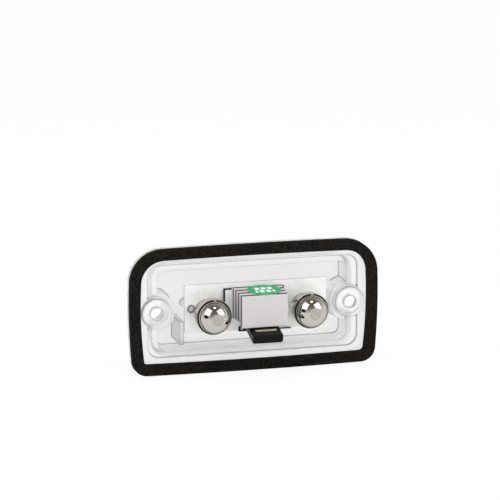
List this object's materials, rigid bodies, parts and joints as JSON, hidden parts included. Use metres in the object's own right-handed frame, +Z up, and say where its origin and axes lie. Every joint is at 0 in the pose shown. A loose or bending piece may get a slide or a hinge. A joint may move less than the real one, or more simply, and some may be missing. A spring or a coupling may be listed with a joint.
{
  "type": "number plate lamp",
  "caption": "Flat rectangular number plate lamp: clear lens moulding with screw bosses, foam seal, bulb sockets under bright domed caps and a ribbed plug connector.",
  "frame": {"origin": "midway between the two screw holes, on the seats of the screw bosses", "axes": "+X along the row of screw holes, +Z up with the large-radius corners on top, +Y out through the lens, -Y towards the car body"},
  "size_m": [0.1088, 0.0369, 0.0548],
  "materials": {
    "clear_plastic": "clear moulded plastic, smooth",
    "foam_rubber": "closed-cell foam, matt black",
    "tinned_sheet": "tin-plated sheet, satin",
    "black_plastic": "moulded, satin black",
    "grey_plastic": "moulded, matt light grey",
    "green_label": "printed sticker, smooth",
    "brass": "stamped, satin",
    "nickel_sleeve": "nickel-plated, drawn",
    "bright_nickel": "bright nickel plating, polished",
    "brown_moulding": "moulded phenolic",
    "bulb_glass": "clear blown glass",
    "tungsten": "drawn wire"
  },
  "bodies": {
    "root": {"lens": "clear_plastic", "seal": "foam_rubber", "carrier_plate": "tinned_sheet", "connector_base": "black_plastic", "terminal_cover": "grey_plastic", "label": "green_label", "latch_plate": "brass", "supply_blade": "brass", "earth_blade": "brass", "contact_strip": "brass", "socket_sleeve_left": "nickel_sleeve", "contact_insulator_left": "brown_moulding", "socket_cap_left": "bright_nickel", "bulb_base_left": "nickel_sleeve", "bulb_glass_left": "bulb_glass", "bulb_filament_left": "tungsten", "socket_sleeve_right": "nickel_sleeve", "contact_insulator_right": "brown_moulding", "socket_cap_right": "bright_nickel", "bulb_base_right": "nickel_sleeve", "bulb_glass_right": "bulb_glass", "bulb_filament_right": "tungsten"}
  },
  "joints": []
}
